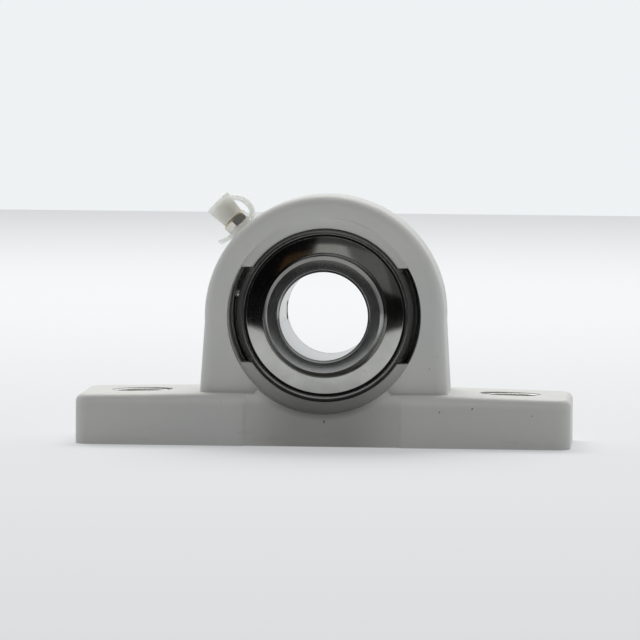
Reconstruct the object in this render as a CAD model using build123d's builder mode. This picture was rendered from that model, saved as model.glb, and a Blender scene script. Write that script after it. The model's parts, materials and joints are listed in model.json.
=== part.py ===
from build123d import *
from math import asin, cos, degrees, radians, sin, sqrt, tan
import os

# Foot-mounted bearing unit with a plastic housing and a stainless insert bearing.
# X runs along the foot, Y along the shaft, Z up. The set screws are on the +Y side.
# The origin is on the underside of the foot, straight below the middle of the bearing.

# Bearing insert, millimetres
bore_diameter = 25.0
inner_ring_wall = 4.5
race_gap = 4.6
outer_ring_wall = 4.4
outer_ring_width = 17.0
inner_ring_front = 14.3
inner_ring_rear = 19.8
bore_chamfer = 0.7
inner_ring_chamfer = 1.05
outer_ring_corner = 0.9
ball_diameter = 7.938
ball_count = 9
race_conformity = 1.03
race_clearance = 0.012
lube_hole_diameter = 1.5
lube_hole_margin = 0.55

# Seals and flingers
mouth_wall = 1.62
seal_groove_depth = 0.4
seal_groove_width = 1.4
seal_groove_inset = 0.9
seal_core_thickness = 0.4
seal_lip_clearance = 0.1
seal_fit = 0.04
flinger_thickness = 0.46
flinger_gap = 0.6
flinger_cone = 0.6
flinger_collar_length = 1.2
press_clearance = 0.01

# Cage
cage_thickness = 0.7
cage_pocket_clearance = 0.12
cage_race_clearance = 1.0
rivet_diameter = 1.0
rivet_head_diameter = 1.8
rivet_head_height = 0.5

# Set screws in the long side of the inner ring
set_screw_diameter = 6.0
set_screw_length = 5.0
set_screw_edge_distance = 5.0
set_screw_angles = (180.0, 60.0)
set_screw_tip_inset = 0.1
set_screw_socket = 3.0
set_screw_socket_depth = 2.5
set_screw_chamfer = 0.6
thread_clearance = 0.05

# Ball that stops the outer ring from turning in its seat
lock_ball_diameter = 2.5
lock_ball_angle = 167.0
lock_ball_inset = 4.0
lock_ball_fit = 0.02

# Housing
base_length = 140.0
base_width = 38.0
shaft_height = 36.5
foot_height = 14.7
foot_fall = 0.8
foot_corner_radius = 4.5
foot_edge_radius = 2.0
arch_wall = 8.0
arch_flare_angle = 3.3
arch_foot_thickness = 29.0
arch_top_thickness = 20.8
arch_edge_radius = 3.5
web_half_width = 21.5
web_step = 1.0
web_rise = 4.5
web_edge_radius = 1.2
seat_clearance = 0.03
seat_lip_cover = 0.5
seat_mouth_chamfer = 0.6
counterbore_rim = 3.03
notch_height = 27.2
notch_past_centre = 0.5
notch_inset = 0.1
grease_groove_depth = 0.8
grease_groove_margin = 0.5
grease_passage_diameter = 2.5
ejector_mark_diameter = 7.0
ejector_mark_depth = 0.2
ejector_mark_x = 33.0
ejector_mark_y = 11.0

# Bolt slots and their steel bushings
bolt_end_distance = 17.5
bolt_slot_width = 11.0
bolt_slot_length = 16.0
bushing_wall = 0.7
bushing_inset = 0.15

# Grease nipple, cap and strap
nipple_angle = 135.0
nipple_thread_diameter = 6.0
nipple_thread_length = 6.0
nipple_hex = 7.0
nipple_hex_height = 2.65
nipple_hex_turn = -8.0
nipple_neck_diameter = 4.2
nipple_neck_height = 1.2
nipple_head_diameter = 6.4
nipple_head_height = 4.4
nipple_bore_diameter = 2.4
nipple_mouth_diameter = 1.4
check_ball_diameter = 2.0
spring_wire = 0.3
spring_turns = 6.0
strap_thickness = 1.3
strap_width = 4.4
strap_ring_diameter = 9.0
strap_tab_reach = 7.2
strap_tab_width = 4.0
strap_bulge = 2.4
strap_band_thickness = 1.9
cap_wall = 0.55
cap_end_thickness = 0.85
cap_clearance = 0.1
cap_rim = 0.15

# Worked out from the sizes above
bore_radius = bore_diameter / 2
ball_radius = ball_diameter / 2
inner_ring_radius = bore_radius + inner_ring_wall
shoulder_radius = inner_ring_radius + race_gap
ball_circle_radius = (inner_ring_radius + shoulder_radius) / 2
sphere_radius = shoulder_radius + outer_ring_wall
half_width = outer_ring_width / 2
groove_radius = ball_radius * race_conformity
ring_edge_radius = sqrt(sphere_radius**2 - half_width**2)
mouth_radius = ring_edge_radius - mouth_wall
seal_outer = half_width - seal_groove_inset
seal_inner = seal_outer - seal_groove_width
lube_hole_offset = seal_inner - lube_hole_diameter / 2 - lube_hole_margin
lock_ball_offset = half_width - lock_ball_inset
seat_radius = sphere_radius + seat_clearance
lip_distance = half_width + seat_lip_cover
counterbore_radius = sqrt(seat_radius**2 - lip_distance**2) + counterbore_rim
arch_radius = sphere_radius + arch_wall
set_screw_axial = inner_ring_rear - set_screw_edge_distance

os.makedirs("parts", exist_ok=True)
bore_axis = Axis((0, 0, shaft_height), (0, 1, 0))
section = Plane.XY.offset(shaft_height)


def radial_plane(angle, distance, axial=0.0):
    """Plane square to a radius of the bore, facing outwards; its local x runs along the shaft."""
    direction = Vector(cos(radians(angle)), 0, sin(radians(angle)))
    centre = Vector(0, axial, shaft_height) + direction * distance
    return Plane(origin=centre, x_dir=(0, 1, 0), z_dir=direction)


def save(part, label):
    part.label = label
    export_step(part, f"parts/{label}.step")


# Housing: foot, arch and web are moulded in one piece
foot_end_height = foot_height - foot_fall
arch_half_width = arch_radius + foot_height * tan(radians(arch_flare_angle))

with BuildPart() as foot:
    with BuildSketch(Plane.XZ) as foot_side:
        with BuildLine():
            Polyline(
                (-base_length / 2, 0),
                (base_length / 2, 0),
                (base_length / 2, foot_end_height),
                (arch_half_width, foot_height),
                (-arch_half_width, foot_height),
                (-base_length / 2, foot_end_height),
                close=True,
            )
        make_face()
    extrude(amount=base_width / 2, both=True)
    fillet(foot.edges().filter_by(Axis.Z), foot_corner_radius)
    upper_edges = foot.edges().filter_by(lambda e: e.center().Z > foot_end_height - foot_fall / 2)
    rim_edges = upper_edges.filter_by(
        lambda e: abs(e.center().Y) > base_width / 4 or abs(e.center().X) > base_length / 2 - 0.1
    )
    fillet(rim_edges, foot_edge_radius)

arch_root = foot_height / 2
flare = radians(arch_flare_angle)
tangent_height = shaft_height - arch_radius * sin(flare)
root_half_width = arch_radius * cos(flare) + (tangent_height - arch_root) * tan(flare)
arch_top = shaft_height + arch_radius


def arch_half_thickness(height):
    """Half of the arch's thickness at a height: it thins evenly from the foot to its top."""
    share = (height - foot_height) / (arch_top - foot_height)
    return (arch_foot_thickness + (arch_top_thickness - arch_foot_thickness) * share) / 2


with BuildPart() as arch:
    with BuildSketch(Plane.XZ) as arch_outline:
        with BuildLine():
            crown = CenterArc((0, shaft_height), arch_radius, -arch_flare_angle, 180 + 2 * arch_flare_angle)
            right_side = Line(crown @ 0, (root_half_width, arch_root))
            left_side = Line(crown @ 1, (-root_half_width, arch_root))
            Line(right_side @ 1, left_side @ 1)
        make_face()
    extrude(amount=base_width / 2, both=True)
    with BuildSketch(Plane.YZ) as arch_side:
        with BuildLine():
            Polyline(
                (-arch_half_thickness(arch_root), arch_root),
                (arch_half_thickness(arch_root), arch_root),
                (arch_half_thickness(arch_top), arch_top),
                (-arch_half_thickness(arch_top), arch_top),
                close=True,
            )
        make_face()
    extrude(amount=2 * arch_radius, both=True, mode=Mode.INTERSECT)
    front_face = arch.faces().sort_by(Axis.Y)[0]
    rear_face = arch.faces().sort_by(Axis.Y)[-1]
    outer_edges = front_face.edges().sort_by(Axis.Z)[1:] + rear_face.edges().sort_by(Axis.Z)[1:]
    fillet(outer_edges, arch_edge_radius)

# The web under the bearing stands a small step behind the foot's faces and rises to the counterbore
web_top = foot_height + web_rise
web_half_thickness = base_width / 2 - web_step

with BuildPart() as web:
    with BuildSketch(Plane.XZ) as web_outline:
        with BuildLine():
            Polyline(
                (-web_half_width, 0),
                (web_half_width, 0),
                (web_half_width, foot_height - foot_edge_radius),
                (web_half_width - web_rise - foot_edge_radius, web_top),
                (web_rise + foot_edge_radius - web_half_width, web_top),
                (-web_half_width, foot_height - foot_edge_radius),
                close=True,
            )
        make_face()
    extrude(amount=web_half_thickness, both=True)
    slanted_edges = web.edges().filter_by(
        lambda e: abs(e.center().Y) > web_half_thickness / 2 and web_top - web_rise < e.center().Z < web_top
    )
    fillet(slanted_edges, web_edge_radius)

recess_reach = base_width / 2 + web_step
recess_outer = web_half_width + 2 * web_step

with BuildPart() as web_recess:
    with BuildSketch() as recess_plan:
        with BuildLine():
            Polyline(
                (-recess_outer, -recess_reach),
                (recess_outer, -recess_reach),
                (web_half_width, -web_half_thickness),
                (-web_half_width, -web_half_thickness),
                close=True,
            )
        make_face()
        mirror(about=Plane.XZ)
    extrude(amount=foot_height)

bolt_offset = base_length / 2 - bolt_end_distance
pocket_length = bolt_slot_length + 2 * bushing_wall
pocket_width = bolt_slot_width + 2 * bushing_wall

with BuildPart() as housing:
    add(foot)
    add(web_recess, mode=Mode.SUBTRACT)
    add(arch)
    add(web)

    # Two loading notches in the front lip let the ring in edge-on; they stop just inside the counterbore's wall
    with BuildSketch(Plane.XZ.offset(-notch_past_centre)) as notch_profile:
        with Locations((0, shaft_height)):
            Circle(counterbore_radius - notch_inset)
            Rectangle(2 * counterbore_radius, notch_height, mode=Mode.INTERSECT)
    extrude(amount=base_width, mode=Mode.SUBTRACT)

    # Spherical seat with a chamfered mouth, and a counterbore outside each lip
    chamfer_end = lip_distance - seat_mouth_chamfer
    chamfer_end_radius = sqrt(seat_radius**2 - chamfer_end**2)
    mouth_edge_radius = chamfer_end_radius + seat_mouth_chamfer * 0.8
    with BuildSketch(section) as seat_profile:
        with BuildLine():
            seat_arc = ThreePointArc(
                (chamfer_end_radius, -chamfer_end),
                (seat_radius, 0),
                (chamfer_end_radius, chamfer_end),
            )
            Polyline(
                seat_arc @ 1,
                (mouth_edge_radius, lip_distance),
                (counterbore_radius, lip_distance),
                (counterbore_radius, base_width),
                (0, base_width),
                (0, -base_width),
                (counterbore_radius, -base_width),
                (counterbore_radius, -lip_distance),
                (mouth_edge_radius, -lip_distance),
                seat_arc @ 0,
            )
        make_face()
    revolve(axis=bore_axis, mode=Mode.SUBTRACT)

    # Annular grease groove that reaches from the nipple's passage to the ring's lube hole
    groove_front = -grease_passage_diameter / 2 - grease_groove_margin
    groove_rear = lube_hole_offset + lube_hole_diameter / 2 + grease_groove_margin
    with BuildSketch(section) as groove_profile:
        with Locations((seat_radius, (groove_front + groove_rear) / 2)):
            Rectangle(2 * grease_groove_depth, groove_rear - groove_front)
    revolve(axis=bore_axis, mode=Mode.SUBTRACT)

    # Threaded hole for the nipple and the passage to the seat
    with BuildSketch(radial_plane(nipple_angle, arch_radius + foot_edge_radius)) as thread_hole:
        Circle(nipple_thread_diameter / 2)
    extrude(amount=-(nipple_thread_length + foot_edge_radius), mode=Mode.SUBTRACT)
    with BuildSketch(radial_plane(nipple_angle, arch_radius)) as passage:
        Circle(grease_passage_diameter / 2)
    extrude(amount=-arch_wall, mode=Mode.SUBTRACT)

    # Pockets for the slot bushings
    with BuildSketch() as bushing_pockets:
        with Locations((-bolt_offset, 0), (bolt_offset, 0)):
            SlotOverall(pocket_length, pocket_width)
    extrude(amount=foot_height, mode=Mode.SUBTRACT)

    # Shallow round marks of the mould's ejector pins
    with BuildSketch() as ejector_marks:
        with GridLocations(2 * ejector_mark_x, 2 * ejector_mark_y, 2, 2):
            Circle(ejector_mark_diameter / 2)
    extrude(amount=ejector_mark_depth, mode=Mode.SUBTRACT)
save(housing.part, "housing")

# Slot bushings: steel sleeves that take the bolts' clamping force
bushing_height = foot_height - foot_fall * (bolt_offset + pocket_length / 2 - arch_half_width) / (
    base_length / 2 - arch_half_width
) - bushing_inset

for side, name in ((-1, "left"), (1, "right")):
    with BuildPart() as slot_bushing:
        with BuildSketch() as bushing_plan:
            with Locations((side * bolt_offset, 0)):
                SlotOverall(pocket_length - 2 * press_clearance, pocket_width - 2 * press_clearance)
                SlotOverall(bolt_slot_length, bolt_slot_width, mode=Mode.SUBTRACT)
        extrude(amount=bushing_height)
        inner_rims = slot_bushing.faces().filter_by(Axis.Z).sort_by(Axis.Z)[-1].inner_wires().edges()
        chamfer(inner_rims, bushing_wall / 3)
    save(slot_bushing.part, f"slot_bushing_{name}")

# Outer ring: spherical outside, raceway and seal grooves inside
corner_start = half_width - outer_ring_corner
corner_radius = sqrt(sphere_radius**2 - corner_start**2)
seal_groove_radius = mouth_radius + seal_groove_depth
outer_groove_bottom = ball_circle_radius + ball_radius + race_clearance
outer_groove_half = sqrt(groove_radius**2 - (shoulder_radius - outer_groove_bottom + groove_radius) ** 2)

with BuildPart() as outer_ring:
    with BuildSketch(section) as outer_profile:
        with BuildLine():
            sphere_arc = ThreePointArc(
                (corner_radius, -corner_start),
                (sphere_radius, 0),
                (corner_radius, corner_start),
            )
            Polyline(
                sphere_arc @ 1,
                (ring_edge_radius - outer_ring_corner, half_width),
                (mouth_radius, half_width),
                (mouth_radius, seal_outer),
                (seal_groove_radius, seal_outer),
                (seal_groove_radius, seal_inner),
                (shoulder_radius, seal_inner),
                (shoulder_radius, outer_groove_half),
            )
            ThreePointArc(
                (shoulder_radius, outer_groove_half),
                (outer_groove_bottom, 0),
                (shoulder_radius, -outer_groove_half),
            )
            Polyline(
                (shoulder_radius, -outer_groove_half),
                (shoulder_radius, -seal_inner),
                (seal_groove_radius, -seal_inner),
                (seal_groove_radius, -seal_outer),
                (mouth_radius, -seal_outer),
                (mouth_radius, -half_width),
                (ring_edge_radius - outer_ring_corner, -half_width),
                sphere_arc @ 0,
            )
        make_face()
    revolve(axis=bore_axis)
    with BuildSketch(radial_plane(nipple_angle, sphere_radius, lube_hole_offset)) as lube_hole:
        Circle(lube_hole_diameter / 2)
    extrude(amount=-outer_ring_wall, mode=Mode.SUBTRACT)
    lock_ball_circle = sqrt(sphere_radius**2 - lock_ball_offset**2)
    lock_ball_plane = radial_plane(lock_ball_angle, lock_ball_circle, -lock_ball_offset)
    with Locations(lock_ball_plane):
        Sphere(lock_ball_diameter / 2 + lock_ball_fit, mode=Mode.SUBTRACT)
save(outer_ring.part, "outer_ring")

with BuildPart() as rotation_lock_ball:
    with Locations(lock_ball_plane):
        Sphere(lock_ball_diameter / 2)
save(rotation_lock_ball.part, "rotation_lock_ball")

# Inner ring: longer on the set screw side
inner_groove_bottom = ball_circle_radius - ball_radius - race_clearance
inner_groove_half = sqrt(groove_radius**2 - (inner_groove_bottom + groove_radius - inner_ring_radius) ** 2)

with BuildPart() as inner_ring:
    with BuildSketch(section) as inner_profile:
        with BuildLine():
            ThreePointArc(
                (inner_ring_radius, -inner_groove_half),
                (inner_groove_bottom, 0),
                (inner_ring_radius, inner_groove_half),
            )
            Polyline(
                (inner_ring_radius, inner_groove_half),
                (inner_ring_radius, inner_ring_rear - inner_ring_chamfer),
                (inner_ring_radius - inner_ring_chamfer, inner_ring_rear),
                (bore_radius + bore_chamfer, inner_ring_rear),
                (bore_radius, inner_ring_rear - bore_chamfer),
                (bore_radius, bore_chamfer - inner_ring_front),
                (bore_radius + bore_chamfer, -inner_ring_front),
                (inner_ring_radius - inner_ring_chamfer, -inner_ring_front),
                (inner_ring_radius, inner_ring_chamfer - inner_ring_front),
                (inner_ring_radius, -inner_groove_half),
            )
        make_face()
    revolve(axis=bore_axis)
    for angle in set_screw_angles:
        with BuildSketch(radial_plane(angle, 0, set_screw_axial)) as screw_hole:
            Circle(set_screw_diameter / 2)
        extrude(amount=inner_ring_radius + 1, mode=Mode.SUBTRACT)
save(inner_ring.part, "inner_ring")

# Set screws: threaded pins with a hexagon socket and a chamfered point
for number, angle in enumerate(set_screw_angles, start=1):
    with BuildPart() as set_screw:
        with BuildSketch(radial_plane(angle, bore_radius + set_screw_tip_inset, set_screw_axial)):
            Circle(set_screw_diameter / 2 - thread_clearance)
        extrude(amount=set_screw_length)
        chamfer(set_screw.edges(), set_screw_chamfer)
        socket_plane = radial_plane(
            angle, bore_radius + set_screw_tip_inset + set_screw_length, set_screw_axial
        )
        with BuildSketch(socket_plane):
            RegularPolygon(set_screw_socket / 2, 6, major_radius=False)
        extrude(amount=-set_screw_socket_depth, mode=Mode.SUBTRACT)
    save(set_screw.part, f"set_screw_{number}")

# Rolling balls
ball_pitch_angle = 360.0 / ball_count
for number in range(ball_count):
    with BuildPart() as ball:
        with Locations(radial_plane(90 + number * ball_pitch_angle, ball_circle_radius)):
            Sphere(ball_radius)
    save(ball.part, f"ball_{number + 1}")


def rivet_plane(number):
    """Plane across the shaft, midway between two balls."""
    between = radial_plane(90 + (number + 0.5) * ball_pitch_angle, ball_circle_radius)
    return Plane(origin=between.origin, x_dir=between.z_dir, z_dir=(0, 1, 0))


# Cage: two pressed halves with a round pocket over each ball, riveted between the balls
cage_inner = inner_ring_radius + cage_race_clearance
cage_outer = shoulder_radius - cage_race_clearance
pocket_radius = ball_radius + cage_pocket_clearance
pocket_shell = pocket_radius + cage_thickness

for side, name in ((-1, "front"), (1, "rear")):
    with BuildPart() as cage_half:
        with BuildSketch(Plane.XZ) as cage_ring:
            with Locations((0, shaft_height)):
                Circle(cage_outer)
                Circle(cage_inner, mode=Mode.SUBTRACT)
        extrude(amount=-side * cage_thickness)
        for number in range(ball_count):
            with Locations(radial_plane(90 + number * ball_pitch_angle, ball_circle_radius)):
                Sphere(pocket_shell)
        with BuildSketch(Plane.XZ) as cage_limits:
            with Locations((0, shaft_height)):
                Circle(cage_outer)
                Circle(cage_inner, mode=Mode.SUBTRACT)
        extrude(amount=-side * pocket_shell, mode=Mode.INTERSECT)
        for number in range(ball_count):
            with Locations(radial_plane(90 + number * ball_pitch_angle, ball_circle_radius)):
                Sphere(pocket_radius, mode=Mode.SUBTRACT)
        for number in range(ball_count):
            with Locations(rivet_plane(number)):
                Cylinder(rivet_diameter / 2, 4 * cage_thickness, mode=Mode.SUBTRACT)
    save(cage_half.part, f"cage_{name}")

# Rivets: a shank through both halves with a round head on each side
with BuildPart() as cage_rivets:
    for number in range(ball_count):
        with Locations(rivet_plane(number)):
            Cylinder(rivet_diameter / 2 - press_clearance, 2 * cage_thickness)
            for side in (-1, 1):
                with Locations((0, 0, side * (cage_thickness + rivet_head_height / 2))):
                    Cylinder(rivet_head_diameter / 2, rivet_head_height)
save(cage_rivets.part, "cage_rivets")

# Seals: a rubber lip on a steel core, snapped into the outer ring on each side
core_outer = seal_groove_radius - seal_fit - seal_groove_depth
core_inner = inner_ring_radius + 4 * seal_core_thickness
core_back = seal_inner + seal_fit
core_face = core_back + seal_core_thickness
rubber_face = seal_outer - 2 * seal_fit
lip_root = inner_ring_radius + 1.0

for side, name in ((-1, "front"), (1, "rear")):
    with BuildPart() as seal:
        with BuildSketch(section) as seal_profile:
            with BuildLine():
                Polyline(
                    (inner_ring_radius + seal_lip_clearance, side * (rubber_face - 0.2)),
                    (inner_ring_radius + seal_lip_clearance, side * (core_face + 0.15)),
                    (lip_root, side * core_face),
                    (core_outer, side * core_face),
                    (core_outer, side * core_back),
                    (seal_groove_radius - seal_fit, side * core_back),
                    (seal_groove_radius - seal_fit, side * (seal_outer - seal_fit)),
                    (mouth_radius - seal_fit, side * (seal_outer - seal_fit)),
                    (mouth_radius - 2 * seal_groove_depth, side * rubber_face),
                    (lip_root, side * rubber_face),
                    close=True,
                )
            make_face()
        revolve(axis=bore_axis)
    save(seal.part, f"seal_{name}")

    with BuildPart() as seal_core:
        with BuildSketch(section) as core_profile:
            with BuildLine():
                Polyline(
                    (core_inner, side * core_back),
                    (core_outer, side * core_back),
                    (core_outer, side * core_face),
                    (core_inner, side * core_face),
                    close=True,
                )
            make_face()
        revolve(axis=bore_axis)
    save(seal_core.part, f"seal_core_{name}")

# Flingers: stamped steel discs with a collar pressed on the inner ring, coned towards the outside
flinger_outer = mouth_radius - flinger_gap
collar_inner = inner_ring_radius + press_clearance
collar_outer = inner_ring_radius + flinger_thickness
flinger_rim = half_width - 0.15
flinger_crest = flinger_rim + flinger_cone

for side, name in ((-1, "front"), (1, "rear")):
    with BuildPart() as flinger:
        with BuildSketch(section) as flinger_profile:
            with BuildLine():
                Polyline(
                    (collar_inner, side * (flinger_crest - flinger_collar_length)),
                    (collar_outer, side * (flinger_crest - flinger_collar_length)),
                    (collar_outer, side * (flinger_crest - flinger_thickness)),
                    (flinger_outer, side * (flinger_rim - flinger_thickness)),
                    (flinger_outer, side * flinger_rim),
                    (collar_outer, side * flinger_crest),
                    (collar_inner, side * (flinger_crest - flinger_thickness / 2)),
                    close=True,
                )
            make_face()
        revolve(axis=bore_axis)
    save(flinger.part, f"flinger_{name}")

# Grease nipple: heights are measured outwards from the arch
nipple_base = radial_plane(nipple_angle, arch_radius)
nipple_axis = Axis(nipple_base.origin, nipple_base.z_dir)
over_crown = Vector(sin(radians(nipple_angle)), 0, -cos(radians(nipple_angle)))
nipple_section = Plane(origin=nipple_base.origin, x_dir=(0, 1, 0), z_dir=over_crown)
strap_seat = 0.05
hex_bottom = strap_seat + strap_thickness + strap_seat
hex_top = hex_bottom + nipple_hex_height
neck_top = hex_top + nipple_neck_height
head_top = neck_top + nipple_head_height
ball_seat = head_top - 0.7
shank_radius = nipple_thread_diameter / 2 - press_clearance
neck_radius = nipple_neck_diameter / 2
head_radius = nipple_head_diameter / 2

with BuildPart() as nipple_body:
    with BuildSketch(nipple_base.offset(hex_bottom)) as hexagon:
        RegularPolygon(nipple_hex / 2, 6, major_radius=False, rotation=nipple_hex_turn)
    extrude(amount=nipple_hex_height)
    hexagon_rims = nipple_body.faces().sort_by(nipple_axis)[-1].edges()
    chamfer(hexagon_rims, 0.3)
    with BuildSketch(nipple_section) as nipple_profile:
        with BuildLine():
            Polyline(
                (0, -nipple_thread_length),
                (shank_radius, -nipple_thread_length),
                (shank_radius, hex_top),
                (neck_radius, hex_top),
                (neck_radius, neck_top),
                (head_radius, (neck_top + 0.5)),
                (head_radius, (head_top - 1.6)),
                (neck_radius - 0.4, head_top),
                (0, head_top),
                close=True,
            )
        make_face()
    revolve(axis=nipple_axis)
    with BuildSketch(nipple_base) as valve_bore:
        Circle(nipple_bore_diameter / 2)
    extrude(amount=ball_seat, mode=Mode.SUBTRACT)
    with BuildSketch(nipple_base.offset(-nipple_thread_length)) as feed_bore:
        Circle(nipple_bore_diameter / 3)
    extrude(amount=nipple_thread_length, mode=Mode.SUBTRACT)
    with BuildSketch(nipple_base.offset(ball_seat)) as mouth_bore:
        Circle(nipple_mouth_diameter / 2)
    extrude(amount=head_top, mode=Mode.SUBTRACT)
save(nipple_body.part, "nipple_body")

# One-way valve: the ball closes the mouth and the spring pushes it there
check_ball_radius = check_ball_diameter / 2
check_ball_drop = sqrt(check_ball_radius**2 - (nipple_mouth_diameter / 2) ** 2)
check_ball_centre = ball_seat - check_ball_drop - strap_seat
with BuildPart() as nipple_check_ball:
    with Locations(nipple_base.offset(check_ball_centre)):
        Sphere(check_ball_radius)
save(nipple_check_ball.part, "nipple_check_ball")

spring_radius = nipple_bore_diameter / 2 - spring_wire
spring_bottom = spring_wire
spring_contact = sqrt((check_ball_radius + spring_wire / 2) ** 2 - spring_radius**2)
spring_top = check_ball_centre - spring_contact - spring_wire / 2
spring_length = spring_top - spring_bottom
spring_plane = nipple_base.offset(spring_bottom)
with BuildPart() as nipple_spring:
    with BuildLine() as spring_path:
        Helix(
            pitch=spring_length / spring_turns,
            height=spring_length,
            radius=spring_radius,
            center=spring_plane.origin,
            direction=spring_plane.z_dir,
        )
    spring_start = Plane(origin=spring_path.line @ 0, z_dir=spring_path.line % 0)
    with BuildSketch(spring_start) as wire:
        Circle(spring_wire / 2)
    sweep(path=spring_path.line)
save(nipple_spring.part, "nipple_spring")

# Cap that keeps dirt off the nipple, with its strap and strap ring
cap_inner = head_radius + cap_clearance
cap_outer = cap_inner + cap_wall
cap_mouth = hex_top + cap_clearance
cap_ceiling = head_top + cap_clearance
cap_end = cap_ceiling + cap_end_thickness
with BuildPart() as nipple_cap:
    with BuildSketch(nipple_section) as cap_profile:
        with BuildLine():
            Polyline(
                (0, cap_ceiling),
                (cap_inner, cap_ceiling),
                (cap_inner, cap_mouth),
                (cap_outer, cap_mouth),
                (cap_outer, (cap_end - cap_end_thickness)),
                (cap_outer + cap_rim, (cap_end - cap_end_thickness + cap_rim)),
                (cap_outer + cap_rim, cap_end),
                (0, cap_end),
                close=True,
            )
        make_face()
    revolve(axis=nipple_axis)
save(nipple_cap.part, "nipple_cap")

# Strap seen along the shaft: local x runs towards the arch's crown, local y away from the bore
strap_plane = Plane(origin=nipple_base.origin, x_dir=over_crown, z_dir=(0, -1, 0))
strap_ring_radius = strap_ring_diameter / 2
strap_foot = strap_seat + strap_thickness / 2
strap_head = cap_end - strap_band_thickness / 2
cap_side = cap_outer + cap_rim + press_clearance
with BuildPart() as cap_strap:
    with BuildSketch(nipple_base.offset(strap_seat)) as strap_ring:
        Circle(strap_ring_radius)
        with Locations((0, strap_tab_reach / 2)):
            Rectangle(strap_tab_width, strap_tab_reach)
        Circle(nipple_thread_diameter / 2, mode=Mode.SUBTRACT)
    extrude(amount=strap_thickness)
    with BuildSketch(strap_plane) as strap_side:
        with BuildLine() as strap_line:
            ThreePointArc(
                (strap_ring_radius - strap_thickness / 2, strap_foot),
                (cap_side + strap_bulge, (strap_foot + strap_head) / 2),
                (cap_side, strap_head),
            )
        trace(line_width=strap_band_thickness)
    extrude(amount=strap_width / 2, both=True)
    with BuildSketch(nipple_base.offset(hex_bottom)) as cap_room:
        Circle(cap_side)
    extrude(amount=cap_end, mode=Mode.SUBTRACT)
    with BuildSketch(nipple_base.offset(strap_seat)) as underside:
        Circle(arch_radius)
    extrude(amount=-strap_thickness, mode=Mode.SUBTRACT)
save(cap_strap.part, "cap_strap")
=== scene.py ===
import json
from math import atan2, ceil, cos, pi, radians, sin, sqrt, tan

import bmesh
import bpy
from mathutils import Matrix, Vector


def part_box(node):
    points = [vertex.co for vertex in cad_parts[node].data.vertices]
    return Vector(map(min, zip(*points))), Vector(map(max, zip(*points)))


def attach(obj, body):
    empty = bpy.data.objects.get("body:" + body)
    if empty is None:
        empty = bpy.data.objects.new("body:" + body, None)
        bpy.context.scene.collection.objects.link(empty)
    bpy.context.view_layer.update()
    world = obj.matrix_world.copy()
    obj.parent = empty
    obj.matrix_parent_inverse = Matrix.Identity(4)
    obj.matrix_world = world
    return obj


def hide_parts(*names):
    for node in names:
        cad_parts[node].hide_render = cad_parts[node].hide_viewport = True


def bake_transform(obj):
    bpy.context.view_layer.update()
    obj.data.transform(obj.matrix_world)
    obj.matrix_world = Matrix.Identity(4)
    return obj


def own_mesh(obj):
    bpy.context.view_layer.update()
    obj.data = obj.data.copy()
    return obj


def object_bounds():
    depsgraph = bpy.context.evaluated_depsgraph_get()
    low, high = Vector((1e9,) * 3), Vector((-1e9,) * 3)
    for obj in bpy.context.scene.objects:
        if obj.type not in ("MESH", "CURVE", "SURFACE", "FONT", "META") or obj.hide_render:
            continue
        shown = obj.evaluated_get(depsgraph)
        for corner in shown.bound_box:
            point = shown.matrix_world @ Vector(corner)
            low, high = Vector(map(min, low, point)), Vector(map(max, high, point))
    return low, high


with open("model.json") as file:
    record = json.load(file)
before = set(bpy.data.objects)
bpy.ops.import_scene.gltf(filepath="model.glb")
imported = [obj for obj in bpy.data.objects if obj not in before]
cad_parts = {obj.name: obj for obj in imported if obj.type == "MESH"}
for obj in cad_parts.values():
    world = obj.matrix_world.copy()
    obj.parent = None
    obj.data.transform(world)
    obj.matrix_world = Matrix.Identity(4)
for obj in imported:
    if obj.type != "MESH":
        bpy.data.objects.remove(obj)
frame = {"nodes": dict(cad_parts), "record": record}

cad_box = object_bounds()


# ---------------------------------------------------------------------------------------------
# Camera: a long lens that looks along the shaft from slightly above and slightly to the right,
# so the front of the bearing shows nearly square and the tops of the feet as thin bands.
# ---------------------------------------------------------------------------------------------
mm = 0.001
mounts = {mount["name"]: mount for mount in frame["record"]["mounts"]}
bore_centre = Vector(mounts["shaft_bore"]["pos_m"])
ring_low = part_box("inner_ring")[0]

view_distance = 1.404
view_azimuth = radians(3.86)
view_elevation = radians(3.56)
view_roll = radians(0.454)
lens_length = 280.2
sensor_width = 36.0
aim_offset = Vector((-0.95 * mm, 0, -0.96 * mm))

aim = Vector((0, ring_low.y, bore_centre.z)) + aim_offset
towards_camera = Vector(
    (
        sin(view_azimuth) * cos(view_elevation),
        -cos(view_azimuth) * cos(view_elevation),
        sin(view_elevation),
    )
)
camera_data = bpy.data.cameras.new("studio_camera")
camera_data.lens = lens_length
camera_data.sensor_width = sensor_width
camera_data.clip_start = 0.01
camera_data.clip_end = 20.0
camera = bpy.data.objects.new("studio_camera", camera_data)
bpy.context.scene.collection.objects.link(camera)
level_view = (-towards_camera).to_track_quat("-Z", "Y").to_matrix().to_4x4()
camera.rotation_euler = (level_view @ Matrix.Rotation(view_roll, 4, "Z")).to_euler()
camera.location = aim + towards_camera * view_distance
bpy.context.scene.camera = camera
bpy.context.scene.view_settings.view_transform = "Standard"


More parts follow.
